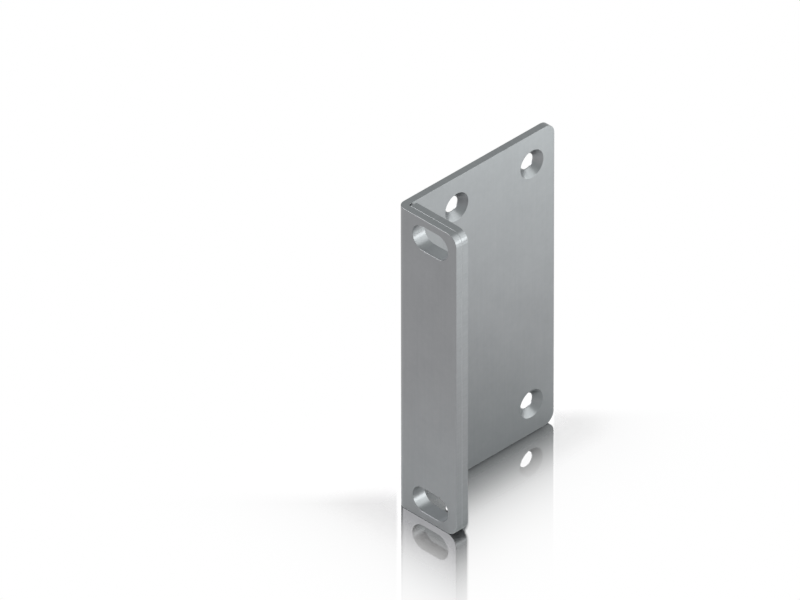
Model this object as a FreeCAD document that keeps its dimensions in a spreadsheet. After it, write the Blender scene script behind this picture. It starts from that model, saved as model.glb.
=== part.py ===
import FreeCAD, Part
import Sketcher
import math
import os

# Rack mount ear for a chassis two rack units high
#
# The ear is a sheet steel angle. Its flange faces the front of the rack and its side plate runs
# back along the chassis. A second plate of the same sheet is welded flat behind the flange, so the
# two rack slots go through two layers.
#
# Frame, in millimetres: X = 0 is the face of the side plate that lies on the chassis and +X is
# outward, +Y is towards the rear of the rack and +Z is up. The origin is the centre of the
# pattern of four countersunk chassis screws.

doc = FreeCAD.newDocument("rack_ear")


# Driving dimensions
SIZES = [
    ("flange_width", 20.0, "chassis face of the side plate to the outer edge of the flange"),
    ("plate_depth", 51.2, "front of the flange to the rear edge of the side plate"),
    ("sheet_thickness", 2.0, "sheet of the bent angle"),
    ("bend_inner_radius", 0.3, "inside radius of the bend"),
    ("corner_radius", 3.0, "four outer corners of the angle and two of the backing plate"),
    ("rolled_edge", 0.1, "edges that the punch rounds, on the front and chassis side of each sheet"),
    ("deburred_edge", 0.05, "edges of each sheet's other side, where the burr was taken off"),
    ("backing_thickness", 2.0, "plate behind the flange"),
    ("backing_gap", 0.7, "side plate to the near edge of the backing plate"),
    ("slot_pitch", 76.2, "centre to centre of the two rack slots, a rack hole spacing"),
    ("slot_end_margin", 5.55, "slot centre to the end of the ear, above and below"),
    ("slot_edge_margin", 8.75, "slot centre to the outer edge of the flange"),
    ("slot_length", 12.0, "rack slot, end to end"),
    ("slot_width", 7.0, "rack slot, across"),
    ("screw_row_front", 18.2, "front of the flange to the first row of chassis screws"),
    ("screw_pitch_depth", 25.4, "chassis screws, front row to rear row"),
    ("screw_pitch_height", 70.0, "chassis screws, lower to upper"),
    ("screw_hole", 4.3, "clearance hole of the chassis screws"),
    ("screw_sink", 7.8, "countersink at the visible face"),
    ("sink_angle", 90.0, "countersink, whole angle in degrees"),
]

sheet = doc.addObject("Spreadsheet::Sheet", "Sizes")
for row, (alias, value, meaning) in enumerate(SIZES, start=1):
    sheet.set(f"A{row}", alias)
    sheet.set(f"B{row}", str(value))
    sheet.set(f"C{row}", meaning)
    sheet.setAlias(f"B{row}", alias)
doc.recompute()


def size(alias):
    """The value of one driving dimension."""
    return float(sheet.get(alias))


# Sizes that follow from others: as an expression for the sketches, and as a number
# The flange's front face lies this far in front of the origin
FRONT = "(Sizes.screw_row_front + Sizes.screw_pitch_depth / 2)"
front = size("screw_row_front") + size("screw_pitch_depth") / 2
# The ear reaches this far above and below the origin
HALF_HEIGHT = "(Sizes.slot_pitch / 2 + Sizes.slot_end_margin)"
half_height = size("slot_pitch") / 2 + size("slot_end_margin")
thickness = size("sheet_thickness")

# A sketch's own normal and origin, and the points of its lines and arcs
SKETCH_NORMAL = FreeCAD.Vector(0, 0, 1)
START, END, CENTRE = range(1, 4)
ORIGIN_POINT = (-1, START)

OUTWARD = FreeCAD.Vector(1, 0, 0)
REARWARD = FreeCAD.Vector(0, 1, 0)
UP = FreeCAD.Vector(0, 0, 1)
TOLERANCE = 1e-4


def origin_plane(body, role):
    """One of the body's own three origin planes."""
    return next(plane for plane in body.Origin.OriginFeatures if plane.Role == role)


def new_body(label):
    """A body whose label is the name of its piece."""
    body = doc.addObject("PartDesign::Body", label)
    body.Label = label
    return body


def new_sketch(body, name, role, offset=None):
    """A sketch on an origin plane of the body, moved along the plane's normal by an expression."""
    sketch = body.newObject("Sketcher::SketchObject", name)
    sketch.AttachmentSupport = [(origin_plane(body, role), "")]
    sketch.MapMode = "FlatFace"
    if offset:
        sketch.setExpression("AttachmentOffset.Base.z", offset)
    return sketch


def dimension(sketch, name, expression, kind, *where):
    """A named dimension of a sketch, bound to the sheet."""
    index = sketch.addConstraint(Sketcher.Constraint(kind, *where))
    sketch.renameConstraint(index, name)
    sketch.setExpression(f"Constraints.{name}", expression)


def square_outline(sketch, points):
    """A closed outline of level and upright lines through the points."""
    count = len(points)
    for index, (x, y) in enumerate(points):
        next_x, next_y = points[(index + 1) % count]
        start = FreeCAD.Vector(x, y, 0)
        end = FreeCAD.Vector(next_x, next_y, 0)
        sketch.addGeometry(Part.LineSegment(start, end))
    for index, (x, y) in enumerate(points):
        following = (index + 1) % count
        level = abs(points[following][1] - y) < TOLERANCE
        sketch.addConstraint(Sketcher.Constraint("Coincident", index, END, following, START))
        sketch.addConstraint(Sketcher.Constraint("Horizontal" if level else "Vertical", index))


def rounded(body, name, radius, edges):
    """A fillet of the body's last feature along the named edges."""
    base = body.Tip
    fillet = body.newObject("PartDesign::Fillet", name)
    fillet.Base = (base, edges)
    fillet.setExpression("Radius", radius)
    body.Tip = fillet
    doc.recompute()


def edges_along(shape, direction, x=None, y=None, z=None):
    """Names of the straight edges parallel to a direction, with their middles at the given places.

    A height z stands for the one above the origin and the one as far below it.
    """
    names = []
    for index, edge in enumerate(shape.Edges, start=1):
        if not isinstance(edge.Curve, Part.Line):
            continue
        if edge.Curve.Direction.cross(direction).Length > TOLERANCE:
            continue
        middle = edge.CenterOfMass
        wanted = ((x, middle.x), (y, middle.y), (z, abs(middle.z)))
        if all(place is None or abs(place - found) < TOLERANCE for place, found in wanted):
            names.append(f"Edge{index}")
    return names


def outline_edges(shape, on_skin):
    """Names of the edges round a skin: those that only one of its faces has."""
    skin = [face for face in shape.Faces if on_skin(face)]
    names = []
    for index, edge in enumerate(shape.Edges, start=1):
        owners = [face for face in skin if any(edge.isSame(other) for other in face.Edges)]
        if len(owners) == 1:
            names.append(f"Edge{index}")
    return names


def slot_rim_edges(shape, y):
    """Names of the edges round the two slots in the plane at y."""
    low = size("flange_width") - size("slot_edge_margin") - size("slot_length") / 2 - TOLERANCE
    high = size("flange_width") - size("slot_edge_margin") + size("slot_length") / 2 + TOLERANCE
    reach = (size("slot_pitch") + size("slot_width")) / 2 + TOLERANCE
    names = []
    for index, edge in enumerate(shape.Edges, start=1):
        box = edge.BoundBox
        flat = abs(box.YMin - y) < TOLERANCE and abs(box.YMax - y) < TOLERANCE
        inside = box.XMin > low and box.XMax < high and max(abs(box.ZMin), abs(box.ZMax)) < reach
        if flat and inside:
            names.append(f"Edge{index}")
    return names


# Two rack slots, cut the same way in both layers
def rack_slots(body, face_offset, depth):
    sketch = new_sketch(body, f"{body.Label}_slot", "XZ_Plane", face_offset)
    radius = size("slot_width") / 2
    middle = size("flange_width") - size("slot_edge_margin")
    level = size("slot_pitch") / 2
    reach = size("slot_length") / 2 - radius
    left = FreeCAD.Vector(middle - reach, level, 0)
    right = FreeCAD.Vector(middle + reach, level, 0)
    rise = FreeCAD.Vector(0, radius, 0)
    quarter = math.pi / 2
    left_end = Part.ArcOfCircle(Part.Circle(left, SKETCH_NORMAL, radius), quarter, 3 * quarter)
    right_end = Part.ArcOfCircle(Part.Circle(right, SKETCH_NORMAL, radius), -quarter, quarter)
    sketch.addGeometry(left_end)
    sketch.addGeometry(Part.LineSegment(left - rise, right - rise))
    sketch.addGeometry(right_end)
    sketch.addGeometry(Part.LineSegment(right + rise, left + rise))
    for first, following in ((0, 1), (1, 2), (2, 3), (3, 0)):
        sketch.addConstraint(Sketcher.Constraint("Tangent", first, END, following, START))
    sketch.addConstraint(Sketcher.Constraint("Horizontal", 1))
    sketch.addConstraint(Sketcher.Constraint("Equal", 0, 2))
    dimension(sketch, "end_radius", "Sizes.slot_width / 2", "Radius", 0, radius)
    dimension(sketch, "end_spacing", "Sizes.slot_length - Sizes.slot_width",
              "DistanceX", 0, CENTRE, 2, CENTRE, 2 * reach)
    dimension(sketch, "outer_end", "Sizes.flange_width - Sizes.slot_edge_margin "
              "+ (Sizes.slot_length - Sizes.slot_width) / 2",
              "DistanceX", *ORIGIN_POINT, 2, CENTRE, middle + reach)
    dimension(sketch, "slot_level", "Sizes.slot_pitch / 2",
              "DistanceY", *ORIGIN_POINT, 2, CENTRE, level)

    upper = body.newObject("PartDesign::Pocket", f"{body.Label}_upper_slot")
    upper.Profile = sketch
    upper.setExpression("Length", depth)
    body.Tip = upper
    doc.recompute()
    both = body.newObject("PartDesign::Mirrored", f"{body.Label}_both_slots")
    both.Originals = [upper]
    both.MirrorPlane = (origin_plane(body, "XY_Plane"), [""])
    body.Tip = both
    doc.recompute()


# The angle: flange and side plate, one sheet with one bend
def make_angle_bracket():
    body = new_body("angle_bracket")
    width = size("flange_width")
    rear = size("plate_depth") - front

    profile = new_sketch(body, "angle_section", "XY_Plane")
    square_outline(profile, [
        (width, -front),
        (0, -front),
        (0, rear),
        (thickness, rear),
        (thickness, thickness - front),
        (width, thickness - front),
    ])
    profile.addConstraint(Sketcher.Constraint("Vertical", 1, START, *ORIGIN_POINT))
    dimension(profile, "front_face", FRONT, "DistanceY", 1, START, *ORIGIN_POINT, front)
    dimension(profile, "width", "Sizes.flange_width", "DistanceX", 0, END, 0, START, width)
    dimension(profile, "depth", "Sizes.plate_depth", "DistanceY", 1, START, 1, END, front + rear)
    dimension(profile, "plate_sheet", "Sizes.sheet_thickness",
              "DistanceX", 2, START, 2, END, thickness)
    dimension(profile, "flange_sheet", "Sizes.sheet_thickness",
              "DistanceY", 5, END, 5, START, thickness)

    pad = body.newObject("PartDesign::Pad", "bent_sheet")
    pad.Profile = profile
    pad.SideType = "Symmetric"
    pad.setExpression("Length", f"2 * {HALF_HEIGHT}")
    body.Tip = pad
    doc.recompute()

    inside = edges_along(body.Tip.Shape, UP, x=thickness, y=thickness - front)
    rounded(body, "bend_inside", "Sizes.bend_inner_radius", inside)
    outside = edges_along(body.Tip.Shape, UP, x=0, y=-front)
    rounded(body, "bend_outside", "Sizes.bend_inner_radius + Sizes.sheet_thickness", outside)

    flange_corners = edges_along(body.Tip.Shape, REARWARD, x=width, z=half_height)
    plate_corners = edges_along(body.Tip.Shape, OUTWARD, y=rear, z=half_height)
    rounded(body, "outer_corners", "Sizes.corner_radius", flange_corners + plate_corners)

    # Each skin of the sheet is the flange's face, the bend and the plate's face together
    bend_axis = size("bend_inner_radius") + thickness

    def skin_test(level, bend_radius):
        def on_skin(face):
            surface = face.Surface
            if isinstance(surface, Part.Cylinder):
                at_bend = surface.Axis.cross(UP).Length < TOLERANCE
                return at_bend and abs(surface.Radius - bend_radius) < TOLERANCE
            box = face.BoundBox
            on_flange = max(abs(box.YMin - level + front), abs(box.YMax - level + front))
            on_plate = max(abs(box.XMin - level), abs(box.XMax - level))
            return min(on_flange, on_plate) < TOLERANCE
        return on_skin

    chassis_side = outline_edges(body.Tip.Shape, skin_test(0, bend_axis))
    rounded(body, "rolled_edges", "Sizes.rolled_edge", chassis_side)
    rack_side = outline_edges(body.Tip.Shape, skin_test(thickness, size("bend_inner_radius")))
    rounded(body, "deburred_edges", "Sizes.deburred_edge", rack_side)

    rack_slots(body, FRONT, "Sizes.sheet_thickness")
    front_rims = slot_rim_edges(body.Tip.Shape, -front)
    rounded(body, "slot_rims", "Sizes.rolled_edge", front_rims)

    # Four chassis screws, countersunk from the outside of the side plate
    screws = new_sketch(body, "chassis_screws", "YZ_Plane", "Sizes.sheet_thickness")
    half_depth = size("screw_pitch_depth") / 2
    half_pitch = size("screw_pitch_height") / 2
    hole_radius = size("screw_hole") / 2
    places = [(y, z) for z in (-half_pitch, half_pitch) for y in (-half_depth, half_depth)]
    for y, z in places:
        centre = FreeCAD.Vector(y, z, 0)
        screws.addGeometry(Part.Circle(centre, SKETCH_NORMAL, hole_radius))
    for index in (1, 2, 3):
        screws.addConstraint(Sketcher.Constraint("Equal", 0, index))
    screws.addConstraint(Sketcher.Constraint("Symmetric", 0, CENTRE, 3, CENTRE, *ORIGIN_POINT))
    screws.addConstraint(Sketcher.Constraint("Symmetric", 1, CENTRE, 2, CENTRE, *ORIGIN_POINT))
    screws.addConstraint(Sketcher.Constraint("Horizontal", 0, CENTRE, 1, CENTRE))
    dimension(screws, "hole", "Sizes.screw_hole", "Diameter", 0, 2 * hole_radius)
    dimension(screws, "pitch_depth", "Sizes.screw_pitch_depth",
              "DistanceX", 0, CENTRE, 1, CENTRE, 2 * half_depth)
    dimension(screws, "pitch_height", "Sizes.screw_pitch_height",
              "DistanceY", 1, CENTRE, 3, CENTRE, 2 * half_pitch)
    doc.recompute()

    holes = body.newObject("PartDesign::Hole", "countersunk_holes")
    holes.Profile = screws
    holes.ThreadType = "None"
    holes.DepthType = "ThroughAll"
    holes.HoleCutType = "Countersink"
    holes.HoleCutCustomValues = True
    holes.setExpression("Diameter", "Sizes.screw_hole")
    holes.setExpression("HoleCutDiameter", "Sizes.screw_sink")
    holes.setExpression("HoleCutCountersinkAngle", "Sizes.sink_angle")
    body.Tip = holes
    doc.recompute()
    return body


# The plate behind the flange, from the outer edge to just short of the side plate
def make_backing_plate():
    body = new_body("flange_backing_plate")
    near = thickness + size("backing_gap")
    far = size("flange_width")

    outline = new_sketch(body, "backing_outline", "XZ_Plane", f"{FRONT} - Sizes.sheet_thickness")
    square_outline(outline, [
        (near, -half_height),
        (far, -half_height),
        (far, half_height),
        (near, half_height),
    ])
    dimension(outline, "near_edge", "Sizes.sheet_thickness + Sizes.backing_gap",
              "DistanceX", *ORIGIN_POINT, 0, START, near)
    dimension(outline, "outer_edge", "Sizes.flange_width",
              "DistanceX", *ORIGIN_POINT, 0, END, far)
    dimension(outline, "top", HALF_HEIGHT,
              "DistanceY", *ORIGIN_POINT, 2, START, half_height)
    dimension(outline, "bottom", HALF_HEIGHT,
              "DistanceY", 1, START, *ORIGIN_POINT, half_height)

    pad = body.newObject("PartDesign::Pad", "backing_sheet")
    pad.Profile = outline
    pad.Reversed = True
    pad.setExpression("Length", "Sizes.backing_thickness")
    body.Tip = pad
    doc.recompute()

    corners = edges_along(body.Tip.Shape, REARWARD, x=far, z=half_height)
    rounded(body, "backing_corners", "Sizes.corner_radius", corners)

    front_face = thickness - front
    back_face = front_face + size("backing_thickness")

    def face_test(level):
        def on_face(face):
            box = face.BoundBox
            return max(abs(box.YMin - level), abs(box.YMax - level)) < TOLERANCE
        return on_face

    front_edges = outline_edges(body.Tip.Shape, face_test(front_face))
    rounded(body, "backing_rolled_edges", "Sizes.rolled_edge", front_edges)
    back_edges = outline_edges(body.Tip.Shape, face_test(back_face))
    rounded(body, "backing_deburred_edges", "Sizes.deburred_edge", back_edges)

    rack_slots(body, f"{FRONT} - Sizes.sheet_thickness", "Sizes.backing_thickness")
    back_rims = slot_rim_edges(body.Tip.Shape, back_face)
    rounded(body, "backing_slot_rims", "Sizes.deburred_edge", back_rims)
    return body


pieces = [make_angle_bracket(), make_backing_plate()]
doc.recompute()

for item in doc.Objects:
    if "Invalid" in item.State or "Error" in item.State:
        raise RuntimeError(f"{item.Label} failed: {item.State}")
for piece in pieces:
    if piece.Shape.isNull() or not piece.Shape.isValid() or len(piece.Shape.Solids) != 1:
        raise RuntimeError(f"{piece.Label} is not one sound solid")

os.makedirs("parts", exist_ok=True)
for piece in pieces:
    piece.Shape.exportStep(f"parts/{piece.Label}.step")
    box = piece.Shape.optimalBoundingBox()
    print(f"{piece.Label}: {piece.Shape.Volume:.1f} mm3, "
          f"X {box.XMin:.2f} to {box.XMax:.2f}, Y {box.YMin:.2f} to {box.YMax:.2f}, "
          f"Z {box.ZMin:.2f} to {box.ZMax:.2f}")
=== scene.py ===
import math

import bpy
from mathutils import Matrix, Quaternion, Vector


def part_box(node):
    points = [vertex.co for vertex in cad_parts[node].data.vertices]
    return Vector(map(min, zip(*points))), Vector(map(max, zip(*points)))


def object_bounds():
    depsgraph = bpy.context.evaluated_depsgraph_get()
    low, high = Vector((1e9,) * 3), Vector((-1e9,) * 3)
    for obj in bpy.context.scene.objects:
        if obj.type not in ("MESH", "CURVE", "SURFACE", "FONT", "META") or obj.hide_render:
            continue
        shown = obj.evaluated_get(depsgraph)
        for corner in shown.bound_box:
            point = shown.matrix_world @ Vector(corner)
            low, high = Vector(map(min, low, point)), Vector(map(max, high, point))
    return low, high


# Rack mount ear bracket: looks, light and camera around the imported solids
#
# Units are metres, in the frame of the part: X = 0 is the face of the side plate that lies on the
# chassis and +X is outward, +Y is towards the rear of the rack and +Z is up. Sizes that end in _MM
# are millimetres on the real part.

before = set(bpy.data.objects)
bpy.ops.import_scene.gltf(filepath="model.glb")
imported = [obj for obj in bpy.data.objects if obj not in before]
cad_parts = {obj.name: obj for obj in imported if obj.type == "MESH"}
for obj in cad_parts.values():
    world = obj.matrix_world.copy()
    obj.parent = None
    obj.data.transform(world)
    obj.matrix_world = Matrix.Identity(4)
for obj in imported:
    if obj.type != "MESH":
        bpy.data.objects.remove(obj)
cad_low, cad_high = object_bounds()

MM = 0.001

# Places that follow from the frame
bracket_low, bracket_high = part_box("angle_bracket")
backing_low, backing_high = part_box("flange_backing_plate")
CHASSIS_FACE = bracket_low.x
FLANGE_FRONT = bracket_low.y
FLANGE_BACK = backing_high.y
SEAM = backing_low.y
OUTER_EDGE = bracket_high.x
REAR_EDGE = bracket_high.y
TOP = bracket_high.z
FLOOR = bracket_low.z
SHEET = SEAM - FLANGE_FRONT


def linear(hex_colour):
    """The linear RGBA of an sRGB hex colour."""
    channels = [int(hex_colour[index:index + 2], 16) / 255 for index in (1, 3, 5)]
    return [c / 12.92 if c <= 0.04045 else ((c + 0.055) / 1.055) ** 2.4 for c in channels] + [1.0]


def add(tree, kind, settings=None, inputs=None):
    """A node of the tree, with its settings by name and its inputs in order or by name or number.

    An input is a value, the output of a node, or a node, which stands for its first output.
    """
    node = tree.nodes.new("ShaderNode" + kind)
    for name, value in (settings or {}).items():
        setattr(node, name, value)
    for key, value in (inputs.items() if isinstance(inputs, dict) else enumerate(inputs or [])):
        if isinstance(value, bpy.types.Node):
            value = value.outputs[0]
        if isinstance(value, bpy.types.NodeSocket):
            tree.links.new(value, node.inputs[key])
        else:
            node.inputs[key].default_value = value
    return node


def total(tree, start, terms):
    """A start value plus, for each term, the product of its weight and its patterns."""
    level = start
    for weight, *patterns in terms:
        product = weight
        for pattern in patterns:
            product = add(tree, "Math", {"operation": "MULTIPLY"}, [pattern, product])
        level = add(tree, "Math", {"operation": "ADD"}, [product, level])
    return level


def new_material(name):
    """An empty material and its node tree."""
    material = bpy.data.materials.new(name)
    material.use_nodes = True
    material.node_tree.nodes.clear()
    return material, material.node_tree


# Zinc plated sheet steel, tumbled after cutting and bending
STEEL_DARK = "#858688"
STEEL_LIGHT = "#8D8E90"
# Painted light: the lighter colour on the seam of the outer edge and on the flats of the slots
PAINTED_LIGHT_COLOUR = "#98999B"
STEEL_ROUGHNESS = 0.36
RELIEF_MM = 0.006
CLOUD_MM = 9.0
MOTTLE_MM = 1.4
# Rolling grain, cut lines and turned rings are far finer on the real sheet: drawn coarser to show
GRAIN_MM = 0.6
CUT_LINE_MM = 0.5
TURNING_PITCH_MM = 0.4
# Noise is squeezed to this along a line, which draws its spots out
SQUEEZE = 0.03
# The chassis screws lie on both sides of the frame's origin
SCREW_ROW_MM = 12.7
SCREW_LEVEL_MM = 35.0
SINK_RADIUS_MM = 3.9
SINK_BLEND_MM = 0.1
# Half the width of the painted light line that covers the shade of the seam
SEAM_MM = 0.12
# A level face of the flange that is farther than this from its top and its foot is in a slot, and
# gets painted light
RIM_MM = 1.0


def speckle(tree, place, size, shift, stretch=(1, 1, 1), detail=2.0):
    """Noise about zero, with spots of a size in millimetres that may be drawn out along an axis."""
    scaled = add(tree, "VectorMath", {"operation": "MULTIPLY_ADD"}, [place, stretch, shift])
    noise = add(tree, "TexNoise", inputs={"Vector": scaled, "Scale": 1 / size, "Detail": detail})
    return total(tree, -0.5, [(1.0, noise)])


def sheet_regions(tree, x, y, facing_x, facing_y):
    """Where the flange is, and where a surface is a skin of the sheet or a cut edge."""
    plate_side = (SHEET + backing_low.x) / 2 / MM
    in_plate = add(tree, "Math", {"operation": "LESS_THAN"}, [x, plate_side])
    in_flange = add(tree, "Math", {"operation": "LESS_THAN"}, [y, FLANGE_BACK / MM + SINK_BLEND_MM])
    skin = total(tree, 0.0, [(1.0, facing_x, in_plate), (1.0, facing_y, in_flange)])
    return in_flange, skin, total(tree, 1.0, [(-1.0, skin)])


def from_nearest_screw(tree, y, z):
    """Distance from the axis of the nearest chassis screw."""
    beside = add(tree, "Math", {"operation": "ABSOLUTE"}, [y])
    above = add(tree, "Math", {"operation": "ABSOLUTE"}, [z])
    row = total(tree, -SCREW_ROW_MM, [(1.0, beside)])
    level = total(tree, -SCREW_LEVEL_MM, [(1.0, above)])
    squared = total(tree, 0.0, [(1.0, row, row), (1.0, level, level)])
    return add(tree, "Math", {"operation": "SQRT"}, [squared])


def seam_and_slot_painted_light(tree, x, y, z, facing_x, facing_z, in_flange):
    """Where painted light covers the shaded seam on the outer edge, and painted light on the level
    flats of the slots.
    """
    from_seam = add(tree, "Math", {"operation": "ABSOLUTE"}, [total(tree, -SEAM / MM, [(1.0, y)])])
    near_seam = add(tree, "Math", {"operation": "LESS_THAN"}, [from_seam, SEAM_MM])
    outer_half = add(tree, "Math", {"operation": "GREATER_THAN"}, [x, OUTER_EDGE / 2 / MM])
    height = add(tree, "Math", {"operation": "ABSOLUTE"}, [z])
    below_rim = add(tree, "Math", {"operation": "LESS_THAN"}, [height, TOP / MM - RIM_MM])
    return total(tree, 0.0, [
        (1.0, near_seam, outer_half, facing_x),
        (1.0, below_rim, in_flange, facing_z, facing_z, facing_z),
    ])


def zinc_plated_steel(name, shift):
    """Even, cool grey satin, with a faint cloudiness of the plating.

    The skins have a rolling grain up the part and the cut edges fine lines across the sheet. The
    countersinks have turned rings and the arrises are rubbed a little brighter. A painted light line
    covers the shade of the seam on the outer edge, and the level flats of the slots get painted
    light. The shift gives each sheet clouds of its own.
    """
    material, tree = new_material(name)
    coordinates = add(tree, "TexCoord").outputs
    place = add(tree, "VectorMath", {"operation": "SCALE"},
                {0: coordinates["Object"], "Scale": 1 / MM})
    x, y, z = add(tree, "SeparateXYZ", inputs=[place]).outputs
    squares = add(tree, "VectorMath", {"operation": "MULTIPLY"},
                  [coordinates["Normal"], coordinates["Normal"]])
    facing_x, facing_y, facing_z = add(tree, "SeparateXYZ", inputs=[squares]).outputs

    in_flange, skin, cut = sheet_regions(tree, x, y, facing_x, facing_y)
    arris = total(tree, 0.0, [(1.0, skin, cut)])
    from_screw = from_nearest_screw(tree, y, z)
    in_sink = add(tree, "MapRange", inputs={
        "Value": from_screw,
        "From Min": SINK_RADIUS_MM,
        "From Max": SINK_RADIUS_MM - SINK_BLEND_MM,
    })
    rings = total(tree, 0.0, [(2 * math.pi / TURNING_PITCH_MM, from_screw)])
    turned = add(tree, "Math", {"operation": "SINE"}, [rings])
    rubbed = total(tree, 0.0, [(1.0, arris, total(tree, 1.0, [(-1.0, in_sink)]))])

    clouds = speckle(tree, place, CLOUD_MM, shift)
    mottle = speckle(tree, place, MOTTLE_MM, shift, detail=3.0)
    grain = speckle(tree, place, GRAIN_MM, shift, stretch=(1, 1, SQUEEZE))
    through_flange = speckle(tree, place, CUT_LINE_MM, shift, stretch=(1, SQUEEZE, 1))
    through_plate = speckle(tree, place, CUT_LINE_MM, shift, stretch=(SQUEEZE, 1, 1))
    behind_flange = total(tree, 1.0, [(-1.0, in_flange)])
    lines = total(tree, 0.0, [(1.0, through_flange, in_flange), (1.0, through_plate, behind_flange)])

    # Of a Mix node's sockets, 0 is the factor, 6 and 7 are the colours and output 2 the mixed one
    plated = add(tree, "Mix", {"data_type": "RGBA"}, {
        0: total(tree, 0.5, [
            (0.9, clouds),
            (0.8, mottle),
            (0.5, grain, skin),
            (1.4, lines, cut),
            (0.25, turned, in_sink, arris),
            (0.8, rubbed),
        ]),
        6: linear(STEEL_DARK),
        7: linear(STEEL_LIGHT),
    })
    # Painted light over the seam's shade and on the flats of the slots
    colour = add(tree, "Mix", {"data_type": "RGBA"}, {
        0: seam_and_slot_painted_light(tree, x, y, z, facing_x, facing_z, in_flange),
        6: plated.outputs[2],
        7: linear(PAINTED_LIGHT_COLOUR),
    })
    roughness = total(tree, STEEL_ROUGHNESS, [
        (0.05, mottle),
        (0.06, lines, cut),
        (-0.08, rubbed),
    ])
    height = total(tree, 0.0, [
        (0.3, mottle),
        (1.0, lines, cut),
        (0.5, turned, in_sink, arris),
    ])
    relief = add(tree, "Bump", inputs={
        "Strength": 1.0,
        "Distance": RELIEF_MM * MM,
        "Height": height,
    })
    shader = add(tree, "BsdfPrincipled", inputs={
        "Base Color": colour.outputs[2],
        "Metallic": 1.0,
        "Roughness": roughness,
        "Normal": relief,
    })
    add(tree, "OutputMaterial", inputs={"Surface": shader})
    return material


# The ear and its backing plate are cut from two sheets and plated together
ear_steel = zinc_plated_steel("zinc_plated_ear_sheet", (0, 0, 0))
backing_steel = zinc_plated_steel("zinc_plated_backing_sheet", (61, 37, 13))
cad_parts["angle_bracket"].material_slots[0].material = ear_steel
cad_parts["flange_backing_plate"].material_slots[0].material = backing_steel


# White gloss acrylic sheet under the part
FLOOR_HALF_WIDTH = 2.0
FLOOR_COLOUR = "#F4F4F4"
SEEN_FLOOR_COLOUR = "#DEDADA"
MIRROR_COLOUR = "#959595"
MIRROR_ROUGHNESS = 0.03
# The mirror image fades with the distance as exp(-(distance / reach) ^ steepness)
MIRROR_REACH_MM = 13.5
MIRROR_STEEPNESS = 1.4
# How far the shade at the foot reaches, for the eye and as the steel mirrors it
SEEN_SHADE_MM = 16.0
MIRRORED_SHADE_MM = 60.0
# Half the width over which an outline in the mirror blends
EDGE_BLEND_MM = 0.5
# The flange's lower outer corner, and how far it draws in the mirror's outline at the foot
CORNER_RADIUS_MM = 3.0
CORNER_INSET_MM = 0.88
# Painted contact shadow in the mirror: a dark line along the foot of the side plate, which ends
# before its rear edge
CONTACT_SHADOW_DARKNESS = 0.6
CONTACT_REACH_MM = 1.5
CONTACT_END_MM = 6.0
# Painted soft shadow on the mirror's background beside the part's image, which ends behind the part
SHADE_RIGHT = 0.20
SHADE_LEFT = 0.24
SHADE_END_MM = 8.0


def beyond_footprint(tree, place, low, high):
    """How far a place on the floor lies beyond an upright block in x and in y, in millimetres."""
    middle = [(low.x + high.x) / 2 / MM, (low.y + high.y) / 2 / MM, 0]
    half = [(high.x - low.x) / 2 / MM, (high.y - low.y) / 2 / MM, 0]
    offset = add(tree, "VectorMath", {"operation": "SUBTRACT"}, [place, middle])
    across = add(tree, "VectorMath", {"operation": "ABSOLUTE"}, [offset])
    beyond = add(tree, "VectorMath", {"operation": "SUBTRACT"}, [across, half])
    return add(tree, "VectorMath", {"operation": "MAXIMUM"}, [beyond, (0, 0, 0)])


def mirrored_side_plate(tree, x, y, planes):
    """Where the mirror holds the side plate (1) and not the flange (0).

    The border is a line out from the flange's outer edge, and the flange's rounded corner bends it
    inwards at the foot.
    """
    to_foot = total(tree, 1.0, [(-1 / CORNER_RADIUS_MM, planes)])
    near_foot = add(tree, "Math", {"operation": "MAXIMUM"}, [0.0, to_foot])
    rounding = add(tree, "Math", {"operation": "POWER"}, [near_foot, 2.0])
    past_edge = total(tree, -(OUTER_EDGE + FLANGE_BACK) / MM,
                      [(1.0, x), (1.0, y), (CORNER_INSET_MM, rounding)])
    return add(tree, "MapRange", inputs={
        "Value": past_edge,
        "From Min": -EDGE_BLEND_MM,
        "From Max": EDGE_BLEND_MM,
    })


def plain_white(tree, views):
    """How far the floor has turned plain white, by distance and reach, for each kind of ray."""
    terms = []
    for distance, reach, rays in views:
        past_shade = add(tree, "MapRange", {"interpolation_type": "SMOOTHSTEP"}, {
            "Value": distance,
            "From Min": 0.0,
            "From Max": reach,
        })
        terms.append((1.0, past_shade, rays))
    return total(tree, 0.0, terms)


def beside_image(tree, x, y, corner_x, corner_y, side):
    """Whether a place on the floor lies right (1) or left (-1) of the image of an upright corner."""
    outward = total(tree, -side * (corner_x + corner_y) / MM, [(side, x), (side, y)])
    nearer = total(tree, (corner_y - corner_x) / MM, [(1.0, x), (-1.0, y)])
    outside = add(tree, "MapRange", inputs={
        "Value": outward,
        "From Min": -EDGE_BLEND_MM,
        "From Max": EDGE_BLEND_MM,
    })
    before = add(tree, "MapRange", {"interpolation_type": "SMOOTHSTEP"}, {
        "Value": nearer,
        "From Min": -SHADE_END_MM * math.sqrt(2),
        "From Max": 0.0,
    })
    return total(tree, 0.0, [(1.0, outside, before)])


def mirror_shade(tree, x, y, plate, side_plate):
    """Painted shadow on the mirror, along the foot of the side plate and beside the part's image."""
    away = add(tree, "Math", {"operation": "DIVIDE"}, [plate, -CONTACT_REACH_MM])
    near = add(tree, "Math", {"operation": "EXPONENT"}, [away])
    before_rear = add(tree, "MapRange", {"interpolation_type": "SMOOTHSTEP"}, {
        "Value": y,
        "From Min": REAR_EDGE / MM,
        "From Max": REAR_EDGE / MM - CONTACT_END_MM,
    })
    return total(tree, 0.0, [
        (CONTACT_SHADOW_DARKNESS, near, side_plate, before_rear),
        (SHADE_RIGHT, beside_image(tree, x, y, SHEET, REAR_EDGE, 1)),
        (SHADE_LEFT, beside_image(tree, x, y, CHASSIS_FACE, FLANGE_FRONT, -1)),
    ])


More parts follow.
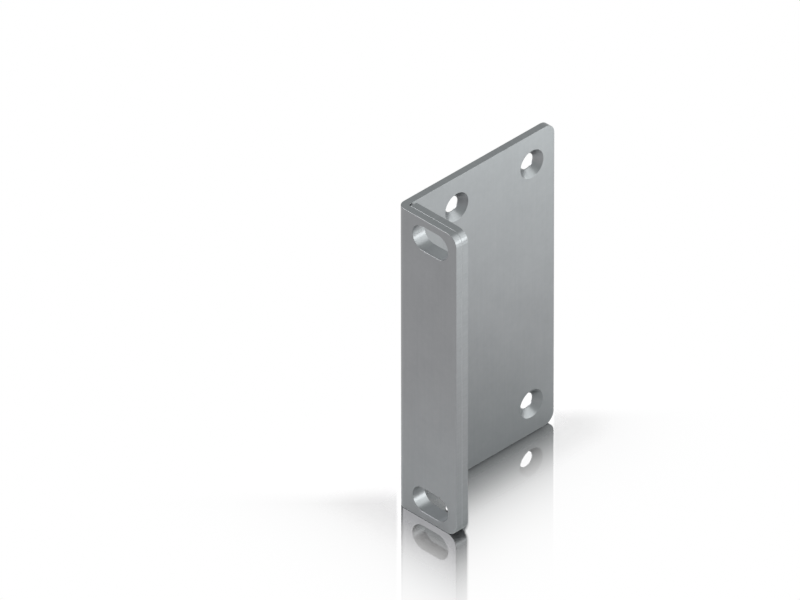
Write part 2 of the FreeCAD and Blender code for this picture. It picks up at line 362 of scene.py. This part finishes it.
def gloss_acrylic():
    """Plain white, with a dim mirror image of the foot that fades within a few centimetres.

    Only the eye sees the mirror: the steel mirrors a plain floor with a wider shade.
    """
    material, tree = new_material("white_gloss_acrylic")
    coordinates = add(tree, "TexCoord").outputs
    place = add(tree, "VectorMath", {"operation": "MULTIPLY"},
                [coordinates["Object"], (1 / MM, 1 / MM, 0)])
    x, y, _ = add(tree, "SeparateXYZ", inputs=[place]).outputs
    path = add(tree, "LightPath").outputs
    seen = path["Is Camera Ray"]
    mirrored = add(tree, "Math", {"operation": "MAXIMUM"},
                   [path["Is Glossy Ray"], path["Is Transmission Ray"]])

    # The flange fades in the mirror with the distance from its planes, the side plate with the
    # distance from its foot
    flange_corner = Vector((OUTER_EDGE, FLANGE_BACK, 0))
    plate_corner = Vector((SHEET, REAR_EDGE, 0))
    beyond_flange = beyond_footprint(tree, place, bracket_low, flange_corner)
    beyond_plate = beyond_footprint(tree, place, bracket_low, plate_corner)
    flange = add(tree, "VectorMath", {"operation": "LENGTH"}, [beyond_flange]).outputs["Value"]
    plate = add(tree, "VectorMath", {"operation": "LENGTH"}, [beyond_plate]).outputs["Value"]
    nearest = add(tree, "Math", {"operation": "MINIMUM"}, [flange, plate])
    out_x, out_y, _ = add(tree, "SeparateXYZ", inputs=[beyond_flange]).outputs
    planes = add(tree, "Math", {"operation": "MAXIMUM"}, [out_x, out_y])
    side_plate = mirrored_side_plate(tree, x, y, planes)
    # Of this Mix node's sockets, 0 is the factor and 2 and 3 are the numbers
    mirrored_piece = add(tree, "Mix", {"data_type": "FLOAT"}, {
        0: side_plate,
        2: add(tree, "Math", {"operation": "MINIMUM"}, [planes, plate]),
        3: plate,
    })
    reach = add(tree, "Math", {"operation": "DIVIDE"}, [mirrored_piece, MIRROR_REACH_MM])
    steep = add(tree, "Math", {"operation": "POWER"}, [reach, MIRROR_STEEPNESS])
    faded = add(tree, "Math", {"operation": "EXPONENT"}, [total(tree, 0.0, [(-1.0, steep)])])

    # The lit part is drawn short of white for the eye
    lit_colour = add(tree, "Mix", {"data_type": "RGBA"}, {
        0: seen,
        6: linear(FLOOR_COLOUR),
        7: linear(SEEN_FLOOR_COLOUR),
    })
    lit = add(tree, "BsdfDiffuse", inputs={"Color": lit_colour.outputs[2]})
    plain = add(tree, "Emission", inputs={"Color": linear("#FFFFFF"), "Strength": 1.0})
    ground = add(tree, "MixShader", inputs=[
        plain_white(tree, [
            (mirrored_piece, SEEN_SHADE_MM, seen),
            (nearest, MIRRORED_SHADE_MM, mirrored),
        ]),
        lit,
        plain,
    ])
    # Painted shadow: the mirror's colour darkens towards black along the foot and beside the image
    tint = add(tree, "Mix", {"data_type": "RGBA"}, {
        0: mirror_shade(tree, x, y, plate, side_plate),
        6: linear(MIRROR_COLOUR),
        7: linear("#000000"),
    })
    mirror = add(tree, "BsdfGlossy", inputs={
        "Color": tint.outputs[2],
        "Roughness": MIRROR_ROUGHNESS,
    })
    mirror_share = total(tree, 0.0, [(1.0, faded, seen)])
    surface = add(tree, "MixShader", inputs=[mirror_share, ground, mirror])
    add(tree, "OutputMaterial", inputs={"Surface": surface})
    return material


def make_floor():
    """A square sheet at the level of the part's foot."""
    corners = [(-1, -1), (1, -1), (1, 1), (-1, 1)]
    points = [(x * FLOOR_HALF_WIDTH, y * FLOOR_HALF_WIDTH, FLOOR) for x, y in corners]
    mesh = bpy.data.meshes.new("floor")
    mesh.from_pydata(points, [], [(0, 1, 2, 3)])
    mesh.materials.append(gloss_acrylic())
    sheet = bpy.data.objects.new("floor", mesh)
    bpy.context.scene.collection.objects.link(sheet)
    return sheet


floor = make_floor()


# Studio: a plain white surround and soft boxes
SURROUND_COLOUR = "#F9FFFE"
SURROUND_LEVEL = 0.81
WARM_WHITE = "#FFFDFE"
BOX_WHITE = "#FBFFFE"
COOL_WHITE = "#F5FFFD"
# Azimuth from +X towards +Y and elevation in degrees, then distance, width and height in metres,
# and radiance, where 1 is as bright as a white surround
SOFT_BOXES = [
    ("key_front_left", WARM_WHITE, -135, 40, 0.80, 0.50, 0.50, 5.39),
    ("right_rear_level", BOX_WHITE, 35, 8, 0.80, 0.80, 0.28, 3.94),
    ("right_rear_high", BOX_WHITE, 45, 37, 0.80, 0.90, 0.50, 1.55),
    ("rear_level", BOX_WHITE, 80, 8, 0.80, 0.25, 0.28, 2.28),
]
# Lit strips that lie on the floor to the right rear: their distance from the frame's origin and
# their depth in metres, and their radiance
FLOOR_STRIPS = [
    ("floor_strip_1", 0.060, 0.030, 0.145),
    ("floor_strip_2", 0.090, 0.030, 0.48),
    ("floor_strip_3", 0.125, 0.040, 0.33),
    ("floor_strip_4", 0.185, 0.080, 2.31),
]
STRIP_AZIMUTH = 45
STRIP_WIDTH = 0.30
STRIP_HEIGHT = 0.001
# White walls and a ceiling that only the floor mirrors, as its background from every side
WALL_STEP = 45
WALL_DISTANCE = 6.0
WALL_WIDTH = 2 * WALL_DISTANCE * math.tan(math.radians(WALL_STEP / 2))
WALL_HEIGHT = 7.2
WALL_RADIANCE = 2.85


def make_surround():
    """The plain white surround that lights the part from all sides."""
    world = bpy.data.worlds.new("studio")
    bpy.context.scene.world = world
    world.use_nodes = True
    tree = world.node_tree
    tree.nodes.clear()
    background = add(tree, "Background", inputs={
        "Color": linear(SURROUND_COLOUR),
        "Strength": SURROUND_LEVEL,
    })
    add(tree, "OutputWorld", inputs={"Surface": background})


def panel(name, colour, place, facing, width, height, radiance):
    """A lit panel that the camera doesn't see."""
    light = bpy.data.lights.new(name, "AREA")
    light.shape = "RECTANGLE"
    light.color = linear(colour)[:3]
    light.size = width
    light.size_y = height
    light.energy = radiance * math.pi * width * height
    lamp = bpy.data.objects.new(name, light)
    bpy.context.scene.collection.objects.link(lamp)
    lamp.location = place
    lamp.rotation_mode = "QUATERNION"
    lamp.rotation_quaternion = facing
    lamp.visible_camera = False
    return lamp


def direction(azimuth, elevation):
    """The unit vector at an azimuth and an elevation in degrees."""
    turn = math.radians(azimuth)
    rise = math.radians(elevation)
    return Vector((math.cos(turn) * math.cos(rise), math.sin(turn) * math.cos(rise), math.sin(rise)))


def soft_box(name, colour, azimuth, elevation, distance, width, height, radiance):
    """A panel that faces the part's centre."""
    away = direction(azimuth, elevation)
    centre = (cad_low + cad_high) / 2
    panel(name, colour, centre + away * distance, away.to_track_quat("Z", "Y"),
          width, height, radiance)


def floor_strip(name, distance, depth, radiance):
    """A panel on the floor that faces up."""
    place = direction(STRIP_AZIMUTH, 0) * distance
    place.z = FLOOR + STRIP_HEIGHT
    facing = Quaternion((0, 0, 1), math.radians(STRIP_AZIMUTH)) @ Quaternion((1, 0, 0), math.pi)
    panel(name, COOL_WHITE, place, facing, depth, STRIP_WIDTH, radiance)


def mirrored_room(name, mirror):
    """Walls all round and a ceiling, which show in the mirror alone and light nothing."""
    receivers = bpy.data.collections.new(name)
    receivers.objects.link(mirror)
    lamps = []
    for azimuth in range(0, 360, WALL_STEP):
        away = direction(azimuth, 0)
        place = away * WALL_DISTANCE
        place.z = FLOOR + WALL_HEIGHT / 2
        lamps.append(panel("%s_wall_%d" % (name, azimuth), WARM_WHITE, place,
                           away.to_track_quat("Z", "Y"), WALL_WIDTH, WALL_HEIGHT, WALL_RADIANCE))
    lamps.append(panel(name + "_ceiling", WARM_WHITE, Vector((0, 0, FLOOR + WALL_HEIGHT)),
                       Quaternion(), 2 * WALL_DISTANCE, 2 * WALL_DISTANCE, WALL_RADIANCE))
    for lamp in lamps:
        lamp.visible_diffuse = False
        lamp.light_linking.receiver_collection = receivers


make_surround()
mirrored_room("mirrored_room", floor)
for box in SOFT_BOXES:
    soft_box(*box)
for strip in FLOOR_STRIPS:
    floor_strip(*strip)


# Camera, from the edges of the part in the photograph
CAMERA_AZIMUTH = 45.162
CAMERA_ELEVATION = 34.954
CAMERA_ROLL = -0.090
CAMERA_DISTANCE = 6.0
FOCAL_PIXELS = 25095
IMAGE_WIDTH = 800
SENSOR_MM = 36.0
NEAREST_SEEN = 0.1
FARTHEST_SEEN = 100.0
# A point of the part, and how far right of it and above it the view's centre lies
AIMED_POINT = Vector((10.0, -5.9, 0.35)) * MM
CENTRE_RIGHT = -24.036 * MM
CENTRE_UP = 6.749 * MM


def make_camera():
    """A long lens, far in front of the part and above it."""
    azimuth = math.radians(CAMERA_AZIMUTH)
    elevation = math.radians(CAMERA_ELEVATION)
    roll = math.radians(CAMERA_ROLL)
    back = Vector((math.sin(azimuth) * math.cos(elevation),
                   -math.cos(azimuth) * math.cos(elevation),
                   math.sin(elevation)))
    right = Vector((math.cos(azimuth), math.sin(azimuth), 0))
    up = back.cross(right)
    rolled_right = right * math.cos(roll) + up * math.sin(roll)
    rolled_up = up * math.cos(roll) - right * math.sin(roll)
    data = bpy.data.cameras.new("camera")
    data.sensor_width = SENSOR_MM
    data.lens = FOCAL_PIXELS / IMAGE_WIDTH * SENSOR_MM
    data.clip_start = NEAREST_SEEN
    data.clip_end = FARTHEST_SEEN
    camera = bpy.data.objects.new("camera", data)
    bpy.context.scene.collection.objects.link(camera)
    centre = AIMED_POINT + rolled_right * CENTRE_RIGHT + rolled_up * CENTRE_UP
    turn = Matrix((rolled_right, rolled_up, back)).transposed()
    camera.matrix_world = Matrix.Translation(centre + back * CAMERA_DISTANCE) @ turn.to_4x4()
    bpy.context.scene.camera = camera


make_camera()
bpy.context.scene.view_settings.view_transform = "Standard"
